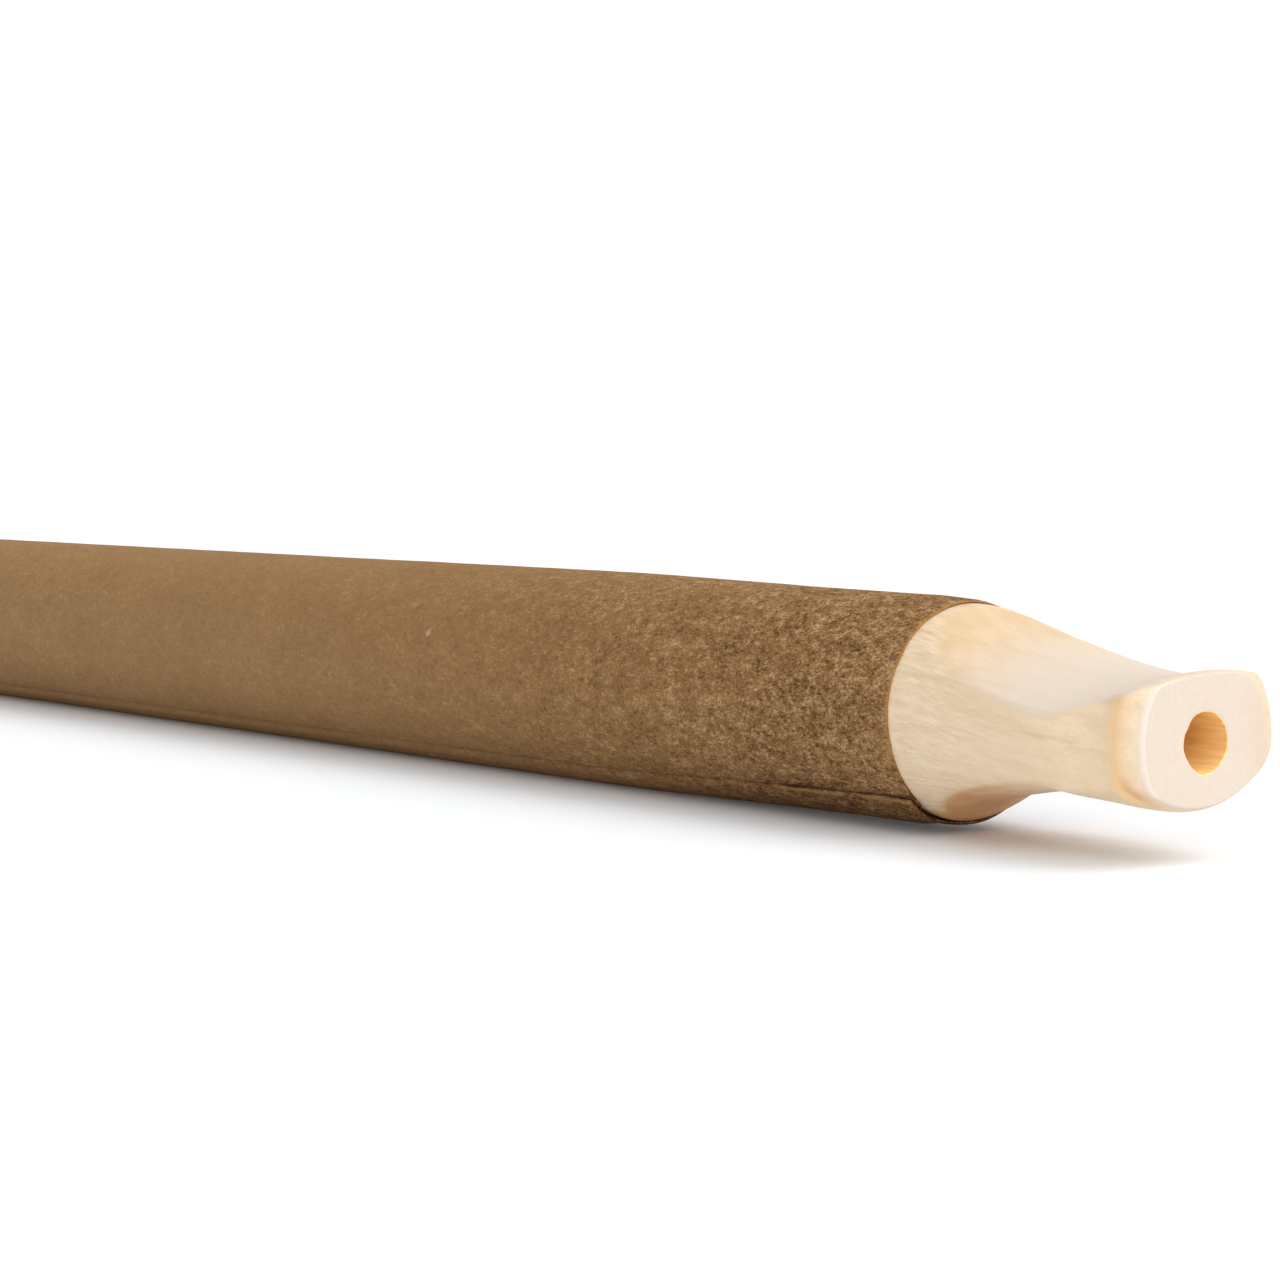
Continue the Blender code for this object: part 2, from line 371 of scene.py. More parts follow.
def leaf_paint(name, ground, dark, light, cut_edge):
    """Pressed leaf: soft clouds, a coarse grain, and scattered dark and light bits of fibre.

    The mark grain_strength fades the grain and the bits, but not the clouds and the rare flecks.
    """
    p = Paint(name, roughness=0.86, specular=0.07)
    fade = p.attribute("grain_strength")
    along = (0.55, 1.0, 1.0)
    clouds = p.noise(0.35, 3.0, along)
    patches = p.noise(1.4, 3.0, along)
    grain = p.noise(3.4, 5.0, along, rough=0.7)
    powder = p.noise(11.0, 2.0, along, rough=0.7)
    tone = p.ramp(patches, 0.3, 0.7, -0.12, 0.12)
    tone = p.maths("ADD", tone, p.ramp(grain, 0.3, 0.7, -0.3, 0.3))
    tone = p.maths("ADD", tone, p.ramp(powder, 0.3, 0.7, -0.34, 0.34))
    tone = p.maths("ADD", p.ramp(clouds, 0.3, 0.7, -0.06, 0.06), p.maths("MULTIPLY", tone, fade))
    # A random tone for each filler shred, and painted shade on the wrapper's lower side.
    tone = p.maths("ADD", tone, p.attribute("shade"))
    colour = p.mix(p.ramp(tone, -0.75, 0.0), dark, ground)
    colour = p.mix(p.ramp(tone, 0.0, 0.75), colour, light)

    long_bits = p.bits(3.4, (0.5, 1.1, 1.1), (0.0, 0.0, 0.2), (0.11, 0.12, 1.0, 0.0), (0.15, 0.42))
    short_bits = p.bits(4.6, (0.6, 0.9, 1.0), (0.4, 0.1, -0.2), (0.1, 0.11, 1.0, 0.0), (0.15, 0.42))
    dark_bits = p.maths("MULTIPLY", p.maths("MAXIMUM", long_bits, short_bits), fade)
    colour = p.mix(p.maths("MULTIPLY", dark_bits, 0.5), colour, dark)
    pale_bits = p.bits(4.2, (0.6, 1.0, 1.0), (0.3, 0.1, 0.3), (0.82, 0.86), (0.1, 0.42))
    pale_bits = p.maths("MULTIPLY", pale_bits, fade)
    colour = p.mix(p.maths("MULTIPLY", pale_bits, 0.45), colour, light)
    flecks = p.bits(0.26, (0.8, 1.0, 1.0), (0.7, 0.3, 0.2), (0.4, 0.42), (0.02, 0.075))
    colour = p.mix(p.maths("MULTIPLY", flecks, 0.6), colour, FLECK)

    # Worn leaf, then the painted highlight on the cut end, the painted highlight on the seam's lip and the
    # painted shadow in its crevice.
    marks = (("worn", WORN_LEAF), ("cut_edge", cut_edge), ("lip", SEAM_LIP_HIGHLIGHT), ("crevice", SEAM_CREVICE_SHADE))
    for mark, tint in marks:
        colour = p.mix(p.attribute(mark), colour, tint)
    height = p.maths("ADD", grain, p.maths("MULTIPLY", powder, 0.35))
    height = p.maths("MULTIPLY", height, fade)
    height = p.maths("SUBTRACT", height, p.maths("MULTIPLY", dark_bits, 0.25))
    height = p.maths("ADD", height, p.maths("MULTIPLY", pale_bits, 0.3))
    return p.finish(colour, height, 0.06)


BIRCH_TILT = (0.0, -0.15, 0.04)
BIRCH_PALE, BIRCH_DEEP = rgb(234, 211, 180), rgb(228, 203, 169)
BIRCH_LINE, BIRCH_RING, BIRCH_PORE = rgb(210, 180, 141), rgb(198, 164, 122), rgb(190, 152, 108)
FIBRE_DARK, FIBRE_LIGHT = rgb(206, 175, 134), rgb(248, 233, 210)
END_GRAIN_PALE, END_GRAIN_DEEP = rgb(217, 202, 186), rgb(213, 197, 180)
# Of these, the cool grey on the upper flat is painted shade, the brown on the lower flat is painted shade
# with some stain, and the pale rim is a painted highlight.
BIRCH_MARKS = (
    ("golden", rgb(209, 175, 128)),
    ("painted_cool_shade", rgb(217, 204, 190)),
    ("toast", rgb(252, 210, 152)),
    ("burn", rgb(206, 140, 78)),
    ("painted_shade_and_stain", rgb(210, 150, 90)),
    ("rim_highlight", rgb(248, 240, 228)),
)


def birch_paint():
    """Bare birch: streaks, growth lines, pores and fine fibre along the grain, its stains, and its painted
    shade and highlights.
    """
    p = Paint("birch", roughness=0.6, specular=0.3)
    streaks = p.noise(1.0, 3.0, stretch=(0.1, 2.2, 2.2), turn=BIRCH_TILT)
    fine = p.noise(1.0, 3.0, stretch=(0.7, 10.0, 10.0), turn=BIRCH_TILT, rough=0.6)
    colour = p.mix(p.ramp(streaks, 0.35, 0.7), BIRCH_PALE, BIRCH_DEEP)
    colour = p.mix(p.ramp(fine, 0.35, 0.75, 0.0, 0.25), colour, BIRCH_LINE)
    rings = p.node("ShaderNodeTexWave", wave_type="BANDS", bands_direction="Z", wave_profile="SIN")
    p.put(rings.inputs["Vector"], p.scaled(p.place, (0.1, 1.0, 1.0), (0.42, 0.0, 0.0)))
    for key, number in (("Scale", 0.16), ("Distortion", 3.0), ("Detail", 2.0), ("Detail Scale", 0.8)):
        rings.inputs[key].default_value = number
    lines = p.maths("MULTIPLY", p.ramp(rings.outputs["Fac"], 0.9, 1.0), p.ramp(streaks, 0.4, 0.62))
    colour = p.mix(p.maths("MULTIPLY", lines, 0.28), colour, BIRCH_RING)
    pores = p.bits(1.0, (1.3, 8.5, 8.5), BIRCH_TILT, (0.15, 0.16, 1.0, 0.0), (0.1, 0.42))
    colour = p.mix(p.maths("MULTIPLY", pores, 0.13), colour, BIRCH_PORE)
    fibres = p.noise(1.0, 3.0, stretch=(1.0, 7.0, 7.0), turn=BIRCH_TILT, rough=0.65)
    for from_value, to_value, tint in ((0.5, 0.7, FIBRE_DARK), (0.5, 0.3, FIBRE_LIGHT)):
        share = p.ramp(fibres, from_value, to_value, 0.0, 0.42)
        colour = p.mix(p.maths("MULTIPLY", share, p.attribute("fibre")), colour, tint)

    speck = p.noise(9.0, 2.0)
    end_grain = p.mix(p.ramp(speck, 0.35, 0.65), END_GRAIN_PALE, END_GRAIN_DEEP)
    colour = p.mix(p.attribute("end_grain"), colour, end_grain)
    for mark, tint in BIRCH_MARKS:
        colour = p.mix(p.attribute(mark), colour, tint)
    height = p.maths("SUBTRACT", p.maths("MULTIPLY", fine, 0.5), p.maths("MULTIPLY", pores, 0.4))
    return p.finish(colour, height, 0.014)


def bore_paint():
    """The drilled wall: raw fibres, deeper in colour because light reaches it only through wood."""
    p = Paint("birch_bore", roughness=0.8, specular=0.15)
    fibres = p.noise(1.0, 4.0, stretch=(0.35, 6.0, 6.0), rough=0.65)
    colour = p.mix(p.ramp(fibres, 0.3, 0.7), rgb(250, 192, 120), rgb(255, 224, 158))
    return p.finish(colour, fibres, 0.05)


# ---- mouthpiece ----

TIP_COLUMNS = 288
TIP_ANGLES = 2 * np.pi * np.arange(TIP_COLUMNS) / TIP_COLUMNS
TIP_ROWS, RIM_ROWS, FACE_ROWS, BORE_ROWS = 150, 22, 14, 40


def tip_rings(ahead):
    """The mouthpiece's outlines, one for each distance ahead.

    Also gives how much a flat has cut each point down: -1 by the lower flat, 1 by the upper one.
    """
    into_rim = np.clip((ahead - EXPOSED + RIM_LENGTH) / RIM_LENGTH, 0, 1)
    drawn_in = 1 - np.sqrt(np.clip(1 - into_rim**2, 0, 1))
    at_mouth = rising(ahead, MOUTH_SHAPE_START, MOUTH_SHAPE_LENGTH)[:, None]

    def profile(points, inset):
        return (smooth_between(points, ahead) - inset * drawn_in)[:, None]

    def towards_mouth(before, after):
        return before + (after - before) * at_mouth

    side = profile(SIDE_PROFILE, RIM_INSET_SIDE)
    near_side = profile(NEAR_SIDE_PROFILE, RIM_INSET_SIDE)
    top = profile(TOP_PROFILE, RIM_INSET_FLAT)
    belly = profile(BELLY_PROFILE, RIM_INSET_FLAT)
    across, up = np.cos(TIP_ANGLES), np.sin(TIP_ANGLES)
    near_wrapper = falling(ahead, 0, TUCK_AHEAD)[:, None]
    tuck = 1 - TOP_TUCK / ROD_PROFILE[0][1] * near_wrapper * high_far(across, up)
    y = np.where(across > 0, side, near_side) * across * tuck
    round_z = side * up * tuck
    z = soft_min(round_z, top - towards_mouth(FLAT_CROWN, MOUTH_TOP_CROWN) * y * y, RIDGE_BLEND)
    z = -soft_min(-z, belly - towards_mouth(FLAT_CROWN, MOUTH_BELLY_CROWN) * y * y, RIDGE_BLEND)
    shaved = np.clip((round_z - z) / FULLY_SHAVED, -1, 1)
    roll = towards_mouth(FLAT_ROLL, MOUTH_ROLL)
    rolled_y = y * np.cos(roll) - z * np.sin(roll) - MOUTH_SHIFT * at_mouth
    rolled_z = z * np.cos(roll) + y * np.sin(roll)
    x = np.broadcast_to((EDGE_X + ahead)[:, None], y.shape)
    drop = MOUTH_DROP * np.maximum(ahead, 0)[:, None] / EXPOSED
    return np.stack([x, rolled_y, rolled_z - drop + AXIS_Z], -1), shaved


def round_ring(x, radius, drop=0.0):
    """A round outline; the radius is a number, or one for each column."""
    y, z = radius * np.cos(TIP_ANGLES), radius * np.sin(TIP_ANGLES) - drop + AXIS_Z
    return np.stack([np.full(TIP_COLUMNS, x), y, z], -1)


def shank_rings():
    """The hidden shank, from its chamfered end to just short of the wrapper's edge."""
    gripped = float(smooth_between(ROD_PROFILE, np.array([SHANK]))[0]) - WRAPPER_THICKNESS - FIT_GAP
    rings = [round_ring(SHANK_X + along, gripped - inset) for along, inset in SHANK_CHAMFER]
    rings.append(round_ring(EDGE_X - 0.3, SIDE_PROFILE[0][1]))
    return rings


def mouth_tear():
    """How far the bore's torn edge is outside a circle: less at a burr, more at a nick below."""
    def at_angle(degrees, width):
        away = (TIP_ANGLES - math.radians(degrees) + np.pi) % (2 * np.pi) - np.pi
        return peak(away, 0, width)
    rough = 0.035 * noise_at(3 * np.cos(TIP_ANGLES), 3 * np.sin(TIP_ANGLES), 4.2)
    burr, nick = 0.08 * at_angle(148, 0.2), 0.07 * at_angle(262, 0.45)
    return rough - burr + nick


def bore_rings():
    """The bore's wall, from its torn edge at the mouth back to the shank's end."""
    rings = [round_ring(MOUTH_X - 0.03, BORE_RADIUS + mouth_tear(), MOUTH_DROP)]
    for back in np.linspace(0.3, MOUTH_X - SHANK_X, BORE_ROWS):
        x = MOUTH_X - back
        drop = MOUTH_DROP * max(x - EDGE_X, 0) / EXPOSED
        rough = noise_at(back / 1.5, 2.5 * np.cos(TIP_ANGLES), 2.5 * np.sin(TIP_ANGLES))
        tear = mouth_tear() * math.exp(-back / TEAR_DEPTH)
        rings.append(round_ring(x, BORE_RADIUS + BORE_ROUGHNESS * rough + tear, drop))
    return rings


def make_mouthpiece():
    """One closed skin: along the shank and the tip, round the rim, over the face, down the bore."""
    before_rim = EXPOSED - RIM_LENGTH
    shank = shank_rings()
    outer, outer_shaved = tip_rings(np.linspace(0, before_rim, TIP_ROWS))
    round_rim = RIM_LENGTH * np.sin(np.linspace(0, np.pi / 2, RIM_ROWS)[1:])
    rim, rim_shaved = tip_rings(before_rim + round_rim)
    lip = round_ring(MOUTH_X, BORE_RADIUS + mouth_tear() + BORE_LIP, MOUTH_DROP)
    face = [rim[-1] * (1 - t) + lip * t for t in np.linspace(0, 1, FACE_ROWS)[1:]]
    bore = bore_rings()
    grid = np.concatenate([shank, outer, rim, face, bore])
    rows = len(grid)
    faces = rows_to_faces(rows, TIP_COLUMNS)
    last = (rows - 1) * TIP_COLUMNS
    for i in range(TIP_COLUMNS):
        j = (i + 1) % TIP_COLUMNS
        faces.append([last + i, last + j, j, i])
    paints = [birch_paint(), bore_paint()]
    made = make_object("mouthpiece_wood", grid.reshape(-1, 3), faces, paints, sharp=50)
    shaved = np.zeros((rows, TIP_COLUMNS))
    shaved[len(shank):len(shank) + len(outer) + len(rim)] = np.concatenate([outer_shaved, rim_shaved])
    mark_tip(made.data, shaved.ravel())
    paint_bore(made.data, rows - len(bore))
    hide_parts("mouthpiece")
    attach(made, "root")


def mark_tip(data, shaved):
    """Stores where the wood is cut across its grain or toasted, where it has painted shade and some stain,
    and the painted highlight on the rim.
    """
    x, y, z = vertex_places(data)
    ahead = x - EDGE_X
    behind_mouth = EXPOSED - ahead
    up = z - AXIS_Z
    mottle = noise_at(0.9 * x, 0.9 * y, 0.9 * up)
    outside_bore = np.hypot(y, up + MOUTH_DROP) > BORE_RADIUS - 0.2
    end_grain = falling(behind_mouth, 0, 0.3) * outside_bore
    upper, lower = ease(shaved), rising(-shaved, 0.2, 0.7)

    # The bead is toasted at its sides, with a burnt spot low on the near one.
    bead = falling(behind_mouth, 1.4, 0.5) * rising(behind_mouth, 0.2, 0.8)
    toast = rising(np.abs(y), 1.8, 1.2) * bead * (1 - 0.8 * upper) * (0.8 + 0.5 * mottle) * 0.9
    burn = peak(behind_mouth, 0.65, 0.34) * peak(up, -2.2, 0.6) * (y < 0) * 0.55
    # A painted highlight runs along the near side of the rim.
    rim_highlight = falling(behind_mouth, 0.02, 0.12) * rising(-y, 1.0, 1.5) * 0.3
    rim_highlight = rim_highlight * (behind_mouth > 0.004)

    # The upper flat is golden by the wrapper; towards the mouth it gets painted shade, cooler and darker.
    # The far rim is golden too.
    golden = upper * falling(ahead, 0.6, 7.5) * (0.75 + 0.4 * mottle) * 0.9
    far_rim = rising(y, 1.6, 2.4) * falling(behind_mouth, 0.6, 0.6) * 0.3
    golden = np.maximum(golden, far_rim)
    painted_cool_shade = upper * (0.1 + 0.7 * rising(ahead, 1.5, 7.0)) * falling(ahead, 13.2, 0.7)

    # The lower flat and the lowest wood are darker brown: painted shade, tinted by light from the wrapper,
    # and partly a stain.
    lower = np.maximum(lower, rising(-up, 3.95, 0.45))
    painted_shade_and_stain = lower * falling(ahead, 2.6, 5.4) * (0.9 + 0.3 * mottle) * 0.85

    # Fibre shows most by the wrapper, and further ahead on the upper flat than elsewhere.
    fibre = 1 - rising(ahead, 1.5, 7.0) * (1 - 0.45 * upper)
    marks = {
        "end_grain": end_grain, "toast": toast, "burn": burn, "rim_highlight": rim_highlight,
        "golden": golden, "painted_cool_shade": painted_cool_shade, "painted_shade_and_stain": painted_shade_and_stain, "fibre": fibre,
    }
    store_marks(data, {name: np.clip(values, 0, 1) for name, values in marks.items()})


def paint_bore(data, first_row):
    """Gives the bore's wall, which starts at a row of the grid, the second material."""
    start = first_row * TIP_COLUMNS
    for face in data.polygons:
        if min(face.vertices) >= start - TIP_COLUMNS and max(face.vertices) >= start:
            face.material_index = 1


# ---- rolled sheets ----

# Places round the rod are in degrees: 0 is the near side, and a quarter turn on is below.
WRAPPER_SEAM = 46.0
SEAM_DRIFT = 0.28  # to a millimetre behind, as far as the drift's length
DRIFT_LENGTH = 22.0
WRAPPER_OVERLAP = 60.0
OVERLAP_AT_EDGE = 16.0
BINDER_SEAM = 225.0
BINDER_OVERLAP = 36.0
STEP_RAMP = 24.0
PRESS_BLEND = 0.015

# The seam stands open near the wood, but for one place where it is stuck down. Further back it
# closes, and only a low step is left.
STUCK_AT, STUCK_WIDTH = 4.1, 0.6
SEAM_CLOSES, CLOSING_LENGTH = 8.0, 3.5
CLOSED_STEP = 0.022

# How far the flap stands off: at its corner by the wood, and along the open seam.
CORNER_RAISED, CORNER_LENGTH = 0.05, 2.4
SEAM_RAISED, SEAM_RAISED_FADE = 0.035, 2.5

# The crumple's depth, and the length of its dents along the rod.
CRUMPLE_DEPTH, CRUMPLE_PITCH = 0.012, 2.6

# How much thinner the sheet is at its cut edge, away from the seam: more on the upper far side.
EDGE_THINNED, EDGE_THINNED_FAR, EDGE_THINNED_LENGTH = 0.045, 0.04, 0.5

# The cut edge: how far it draws back below, how far short the end under the flap stops, and the
# length over which the sheet's rows even out behind it.
EDGE_DRAWN_BACK, COVERED_END_SHORT, EDGE_EVENS_OUT = 0.16, 4.0, 8.0


def around(x, radius, angle):
    """Points about the rod's axis, for an angle in radians."""
    return np.stack([x, -radius * np.cos(angle), AXIS_Z - radius * np.sin(angle)], -1)


def pressed(points, radius, rod):
    """Points moved up to the narrow flat that the rod's weight presses under each layer."""
    lowest = AXIS_Z - (radius + ROD_THICKEST - rod - REST_FLAT_DEPTH)
    points[..., 2] = -soft_min(-points[..., 2], -lowest, PRESS_BLEND)
    return points


def sheet_object(name, x, skin, inside, rod, angle, paint):
    """A closed sheet between two skins, given as radii on a grid of (row along, column round)."""
    outer = pressed(around(x, skin, angle), skin, rod)
    inner = pressed(around(x, inside, angle), inside, rod)
    grid = np.concatenate([outer, inner[:, ::-1]], 1)
    rows, columns = grid.shape[:2]
    faces = rows_to_faces(rows, columns)
    faces += end_faces(0, columns) + end_faces((rows - 1) * columns, columns)
    return make_object(name, grid.reshape(-1, 3), faces, [paint], sharp=50)


def both_skins(values):
    """A grid of values for the outer skin, with the same values for the inner one."""
    return np.concatenate([values, values[:, ::-1]], 1).ravel()


def outer_skin(values):
    """A grid of values for the outer skin, with nothing for the inner one."""
    return np.concatenate([values, 0 * values], 1).ravel()


def wrapper_grid():
    """Distances behind and turns from the free edge, closest together at the wood and the seam."""
    behind = (np.linspace(0, 0.6, 9)[:-1], np.linspace(0.6, 12, 90)[:-1], np.linspace(12, ROD_LENGTH, 150))
    turn = (
        np.linspace(0, 8, 26)[:-1],
        np.linspace(8, 352, 262)[:-1],
        np.linspace(352, 370, 60)[:-1],
        np.linspace(370, 360 + WRAPPER_OVERLAP, 50),
    )
    return np.concatenate(behind), np.concatenate(turn)


def make_wrapper(paint):
    """The outer sheet, with its free edge standing off near the wood and pressed down further back."""
    behind, turn = wrapper_grid()
    b, t = np.meshgrid(behind, turn, indexing="ij")
    rod = smooth_between(ROD_PROFILE, b)
    near_free_edge = falling(t, 0, 7)
    stuck = peak(b, STUCK_AT, STUCK_WIDTH)

    # Near the wood the end under the flap is cut away, so the flap comes down onto the rod sooner.
    overlap = OVERLAP_AT_EDGE + (WRAPPER_OVERLAP - OVERLAP_AT_EDGE) * rising(b, 0.5, 4.0)
    lift = (WRAPPER_THICKNESS + FIT_GAP) * falling(t, overlap, STEP_RAMP)
    along_seam = falling(b, SEAM_CLOSES, SEAM_RAISED_FADE) * (1 - stuck)
    raised = CORNER_RAISED * falling(b, 0, CORNER_LENGTH) + SEAM_RAISED * along_seam
    raised = raised * falling(t, 2, 22)
    turned = np.radians(t)
    dents = noise_at(b / CRUMPLE_PITCH, 1.5 * np.cos(turned), 1.5 * np.sin(turned))
    crumple = CRUMPLE_DEPTH * dents

    # The sheet is thinner at its cut edge, and at its free edge where that is stuck down.
    place = np.radians(WRAPPER_SEAM + t)
    upper_far = high_far(-np.cos(place), -np.sin(place))
    at_cut_edge = falling(b, 0, EDGE_THINNED_LENGTH) * rising(t, 40, 30)
    thinned = (EDGE_THINNED + EDGE_THINNED_FAR * upper_far) * at_cut_edge
    stuck_down = np.maximum(rising(b, SEAM_CLOSES, CLOSING_LENGTH), 0.85 * stuck) * near_free_edge
    thinned = thinned + (WRAPPER_THICKNESS + FIT_GAP - CLOSED_STEP) * stuck_down
    tuck = TOP_TUCK * falling(b, 0, TUCK_BEHIND) * upper_far
    inside = rod + lift + raised - tuck - WRAPPER_THICKNESS
    skin = rod + lift + raised - tuck + crumple - thinned

    ragged = 0.35 * wobble(behind, 1.1, 3)[:, None] + 0.12 * wobble(behind, 0.35, 5)[:, None]
    seam = WRAPPER_SEAM + SEAM_DRIFT * np.minimum(b, DRIFT_LENGTH)
    angle = np.radians(seam + t + ragged * near_free_edge)

    # Both cut edges are uneven. The one by the wood is this far ahead of its place at each turn.
    cut = 0.05 * wobble(turn, 14.0, 8) + 0.02 * wobble(turn, 3.0, 9)
    cut = cut - EDGE_DRAWN_BACK * rising(turn, 0, 14) * falling(turn, 60, 50)
    cut = cut - COVERED_END_SHORT * rising(turn, 366, 25)
    foot_cut = 0.05 + 0.05 * wobble(turn, 20.0, 12)
    x = EDGE_X - b + cut * falling(b, 0, EDGE_EVENS_OUT) + foot_cut * rising(b, ROD_LENGTH - 2, 2)
    made = sheet_object("wrapper_sheet", x, skin, inside, rod, angle, paint)

    open_seam = falling(b, 8.8, 1.6) * (1 - 0.9 * stuck)
    past_seam = t - 360 - ragged
    # Painted shadow in the open seam's crevice, and painted shade on the cut end below the rod.
    crevice = peak(past_seam, -0.55, 0.75) * (past_seam < 1.5) * open_seam * 0.62
    shaded_under_edge = falling(b, 0, 0.1) * rising(t, 14, 14) * falling(t, 120, 60) * 0.85
    # Painted highlight along the flap's free edge, where the top lamp catches its lip.
    lip = peak(t, 0, 1.4) * open_seam * 0.7
    # Painted shade: the lower near side and the underside by the wood are darker, where little light comes
    # up from the floor.
    below = (np.degrees(angle) + 180) % 360 - 180
    shade = -0.3 * falling(b, 8, 16) * rising(below, 34, 18) * falling(below, 120, 40)
    mark_leaf(
        made.data, both_skins(EDGE_X + np.broadcast_to(cut, b.shape)), worn=0.35,
        crevice=outer_skin(np.maximum(crevice, shaded_under_edge)), lip=outer_skin(lip),
        shade=both_skins(shade),
    )
    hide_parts("wrapper")
    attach(made, "root")


def mark_leaf(data, edge_x, worn=0.0, **marks):
    """Stores how coarse and how worn leaf is, where its cut end is lit by a painted highlight, and any
    other marks.

    edge_x is where that end is: one place, or one for each vertex. Leaf inside the wrapper has
    no such end in view, so it is given the mouth's place, which it never reaches.
    """
    x, y, z = vertex_places(data)
    behind = edge_x - x
    # The cut end's colour is a painted highlight, strongest on the rod's upper side where the lamps catch
    # it.
    lit = rising(z - AXIS_Z, -3.8, 3.4)
    frayed = 0.12 + 0.12 * noise_at(3.2 * y, 3.2 * z, 0.5)
    coarse = 1.3 - 0.36 * rising(behind, 5, 14) - 0.34 * rising(behind, 16, 24)
    nothing = np.zeros(len(x))
    store_marks(data, {
        "cut_edge": rising(-behind, -frayed, frayed) * 0.68 * lit,
        "grain_strength": coarse,
        "worn": worn * rising(behind, 6, 60),
        "shade": marks.get("shade", nothing),
        "crevice": marks.get("crevice", nothing),
        "lip": marks.get("lip", nothing),
    })


def make_binder(paint):
    """The inner sheet, whose covered end dives under its start."""
    behind = np.linspace(BINDER_START, ROD_LENGTH, 60)
    turn = np.linspace(0, 360 + BINDER_OVERLAP, 200)
    b, t = np.meshgrid(behind, turn, indexing="ij")
    rod = smooth_between(ROD_PROFILE, b)
    dive = (BINDER_THICKNESS + FIT_GAP) * rising(t, 360 - STEP_RAMP, STEP_RAMP)
    skin = rod - WRAPPER_THICKNESS - FIT_GAP - dive
    angle = np.radians(BINDER_SEAM + t)
    made = sheet_object("binder_sheet", EDGE_X - b, skin, skin - BINDER_THICKNESS, rod, angle, paint)
    mark_leaf(made.data, MOUTH_X)
    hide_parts("binder")
    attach(made, "root")


# ---- cut filler ----

# The CAD part's ribbons: round layers from the outside in, and one ribbon in the middle.
LAYER_COUNT = 5
FILLER_RADIUS = 4.4
LAYER_PITCH = 0.75
RIBBON_SPACING = 2.55
LAYER_STAGGER = 0.37
CORE_RADIUS = 0.45
CORE_HALF_ANGLE = 1.5
SHRED_REACH = 4.9

# The shreds of a bundle, outwards and round, and their spacing outwards.
BUNDLE_OUTWARDS = 4
BUNDLE_ROUND = 2
SHRED_SPACING = 0.2

# A shred's points across and its rows along.
SHRED_POINTS = 7
SHRED_ROWS = 9


def shred(rng, radius, middle, reach, start, end):
    """One crumpled strip of leaf at a radius and an angle, between two distances behind.

    Gives its points, row by row. No point is further from the axis than its reach.
    """
    width, thickness = rng.uniform(0.9, 1.9), rng.uniform(0.07, 0.12)
    slant = rng.choice((0.0, 0.0, 1.0)) * rng.uniform(-1.2, 1.2) + rng.uniform(-0.35, 0.35)
    curl, ripple, phase = rng.uniform(-0.5, 0.5), rng.uniform(0.02, 0.09), rng.uniform(0, 6.3)
    twist = rng.uniform(-0.3, 0.3)
    points = []
    for i in range(SHRED_ROWS):
        share = i / (SHRED_ROWS - 1)
        behind = start + (end - start) * share
        turn = slant + twist * math.sin(2.2 * share + phase)
        spine = []
        for k in range(SHRED_POINTS):
            u = (k / (SHRED_POINTS - 1) - 0.5) * width
            v = curl * (u * u - width * width / 8) + ripple * math.sin(5.0 * u + phase + 3 * share)
            across = u * math.cos(turn) - v * math.sin(turn)
            outward = u * math.sin(turn) + v * math.cos(turn)
            spine.append((radius + outward, across))
        back, hollow = [], []
        for k, (out, across) in enumerate(spine):
            before, after = spine[max(k - 1, 0)], spine[min(k + 1, SHRED_POINTS - 1)]
            run, rise = after[0] - before[0], after[1] - before[1]
            size = math.hypot(run, rise) or 1.0
            half = thickness / 2 * (0.5 if k in (0, SHRED_POINTS - 1) else 1.0)
            for offset, row in ((half, back), (-half, hollow)):
                r, a = out + offset * rise / size, across - offset * run / size
                y = -r * math.cos(middle) + a * math.sin(middle)
                z = -r * math.sin(middle) - a * math.cos(middle)
                far = math.hypot(y, z)
                if far > reach:
                    y, z = y * reach / far, z * reach / far
                row.append((EDGE_X - behind, y, AXIS_Z + z))
        points += back + hollow[::-1]
    return points


def shred_faces(first):
    """The faces of one shred whose points start at a number."""
    columns = 2 * SHRED_POINTS
    last_row = first + (SHRED_ROWS - 1) * columns
    sides = rows_to_faces(SHRED_ROWS, columns, first)
    return sides + end_faces(first, columns) + end_faces(last_row, columns)


def filler_cells():
    """(ribbon number, layer radius, middle angle, half angle) as the CAD part lays its ribbons."""
    number = 1
    for layer in range(LAYER_COUNT):
        radius = FILLER_RADIUS - LAYER_PITCH * layer
        count = int(2 * math.pi * radius / RIBBON_SPACING)
        for i in range(count):
            yield number, radius, 2 * math.pi * (i + LAYER_STAGGER * layer) / count, math.pi / count
            number += 1
    yield number, CORE_RADIUS, 0.0, CORE_HALF_ANGLE


